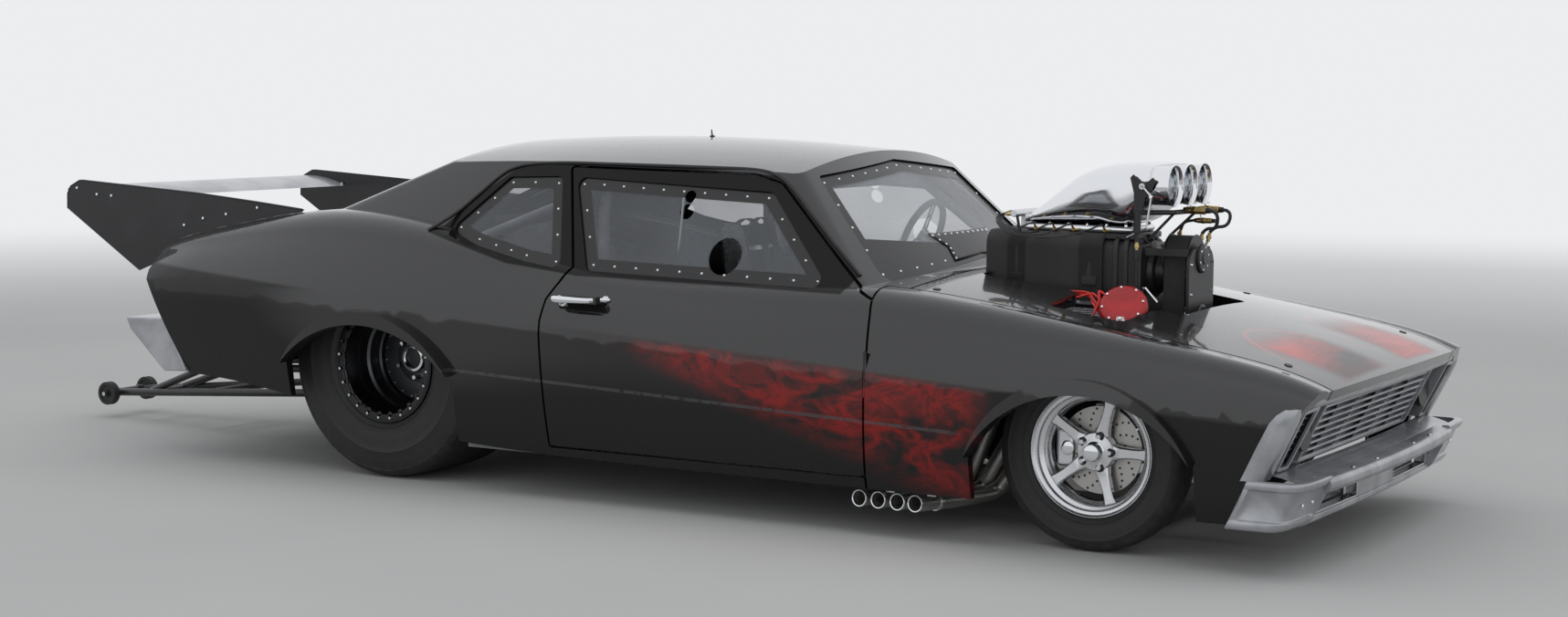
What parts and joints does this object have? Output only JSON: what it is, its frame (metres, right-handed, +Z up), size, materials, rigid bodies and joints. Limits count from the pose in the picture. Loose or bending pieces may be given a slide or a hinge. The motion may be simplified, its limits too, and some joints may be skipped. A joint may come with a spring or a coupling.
{
  "type": "drag racing car",
  "caption": "Two-door drag racing coupe with supercharged engine standing through the bonnet, rear wing and wheelie bar; doors, steering and wheels move.",
  "frame": {"origin": "on the ground, at the middle of the overall length and width", "axes": "+X towards the nose, +Y to the car's left side, +Z up"},
  "size_m": [5.73, 1.9314, 1.2729],
  "materials": {
    "paint": "satin",
    "glass": "clear",
    "silver": "satin",
    "bare_steel": "satin",
    "polished": "polished",
    "black_metal": "satin",
    "trim": "matt",
    "seat": "woven",
    "rubber": "matt",
    "rim_alloy": "brushed",
    "iron": "rough",
    "red": "gloss",
    "lamp": "clear",
    "lamp_red": "gloss"
  },
  "bodies": {
    "car": {"body_shell": "paint", "guard_right": "paint", "guard_left": "paint", "bonnet": "paint", "boot_lid": "paint", "floor_pan": "bare_steel", "windscreen": "glass", "rear_window": "glass", "quarter_windows": "glass", "dashboard": "black_metal", "driver_seat": "seat", "roll_cage": "black_metal", "nose_panel": "black_metal", "grille": "black_metal", "headlamps": "lamp", "nose_bezels": "silver", "front_bumper": "silver", "rear_bumper": "silver", "tail_lamps": "lamp_red", "wing_plates": "bare_steel", "wing_blade": "black_metal", "wheelie_bar": "black_metal", "engine_block": "iron", "driveline": "bare_steel", "blower": "black_metal", "blower_drive": "polished", "injector_hat": "polished", "magneto": "red", "exhausts": "bare_steel", "rear_axle": "black_metal", "rear_suspension": "black_metal", "front_suspension": "black_metal"},
    "knuckle_right_body": {"knuckle_right": "bare_steel"},
    "front_wheel_right": {"front_rim_right": "rim_alloy", "front_tyre_right": "rubber"},
    "rear_wheel_right": {"rear_rim_right": "black_metal", "rear_tyre_right": "rubber"},
    "wheelie_roller_right": {"wheelie_wheel_right": "rubber"},
    "door_right_body": {"door_right": "paint", "door_glass_right": "glass"},
    "knuckle_left_body": {"knuckle_left": "bare_steel"},
    "front_wheel_left": {"front_rim_left": "rim_alloy", "front_tyre_left": "rubber"},
    "rear_wheel_left": {"rear_rim_left": "black_metal", "rear_tyre_left": "rubber"},
    "wheelie_roller_left": {"wheelie_wheel_left": "rubber"},
    "door_left_body": {"door_left": "paint", "door_glass_left": "glass"},
    "steering_wheel_body": {"steering_wheel": "trim"}
  },
  "joints": [
    {"name": "steer_left", "type": "hinge", "parent": "car", "child": "knuckle_left_body", "pos_m": [2.075, 0.585, 0.317], "axis": [0, 0, 1], "range_deg": [-22, 22]},
    {"name": "steer_right", "type": "hinge", "parent": "car", "child": "knuckle_right_body", "pos_m": [2.075, -0.585, 0.317], "axis": [0, 0, 1], "range_deg": [-22, 22]},
    {"name": "steering_wheel_turn", "type": "hinge", "parent": "car", "child": "steering_wheel_body", "pos_m": [0.91, 0.365, 0.905], "axis": [-0.9272, 0, 0.3746], "range_deg": [-264, 264]},
    {"name": "front_spin_left", "type": "hinge", "parent": "knuckle_left_body", "child": "front_wheel_left", "pos_m": [2.075, 0.667, 0.317], "axis": [0, 1, 0], "continuous": true},
    {"name": "rear_spin_left", "type": "hinge", "parent": "car", "child": "rear_wheel_left", "pos_m": [-0.744, 0.567, 0.432], "axis": [0, 1, 0], "continuous": true},
    {"name": "wheelie_spin_left", "type": "hinge", "parent": "car", "child": "wheelie_roller_left", "pos_m": [-2.815, 0.115, 0.105], "axis": [0, 1, 0], "continuous": true},
    {"name": "door_left_swing", "type": "hinge", "parent": "car", "child": "door_left_body", "pos_m": [1.36, 0.909, 0.54], "axis": [0, 0, 1], "range_deg": [-60, 0]},
    {"name": "front_spin_right", "type": "hinge", "parent": "knuckle_right_body", "child": "front_wheel_right", "pos_m": [2.075, -0.667, 0.317], "axis": [0, 1, 0], "continuous": true},
    {"name": "rear_spin_right", "type": "hinge", "parent": "car", "child": "rear_wheel_right", "pos_m": [-0.744, -0.567, 0.432], "axis": [0, 1, 0], "continuous": true},
    {"name": "wheelie_spin_right", "type": "hinge", "parent": "car", "child": "wheelie_roller_right", "pos_m": [-2.815, -0.115, 0.105], "axis": [0, 1, 0], "continuous": true},
    {"name": "door_right_swing", "type": "hinge", "parent": "car", "child": "door_right_body", "pos_m": [1.36, -0.909, 0.54], "axis": [0, 0, 1], "range_deg": [0, 60]}
  ],
  "couplings": [
    {"joint": "steer_right", "follows": "steer_left", "ratio": 1},
    {"joint": "steering_wheel_turn", "follows": "steer_left", "ratio": 12}
  ]
}
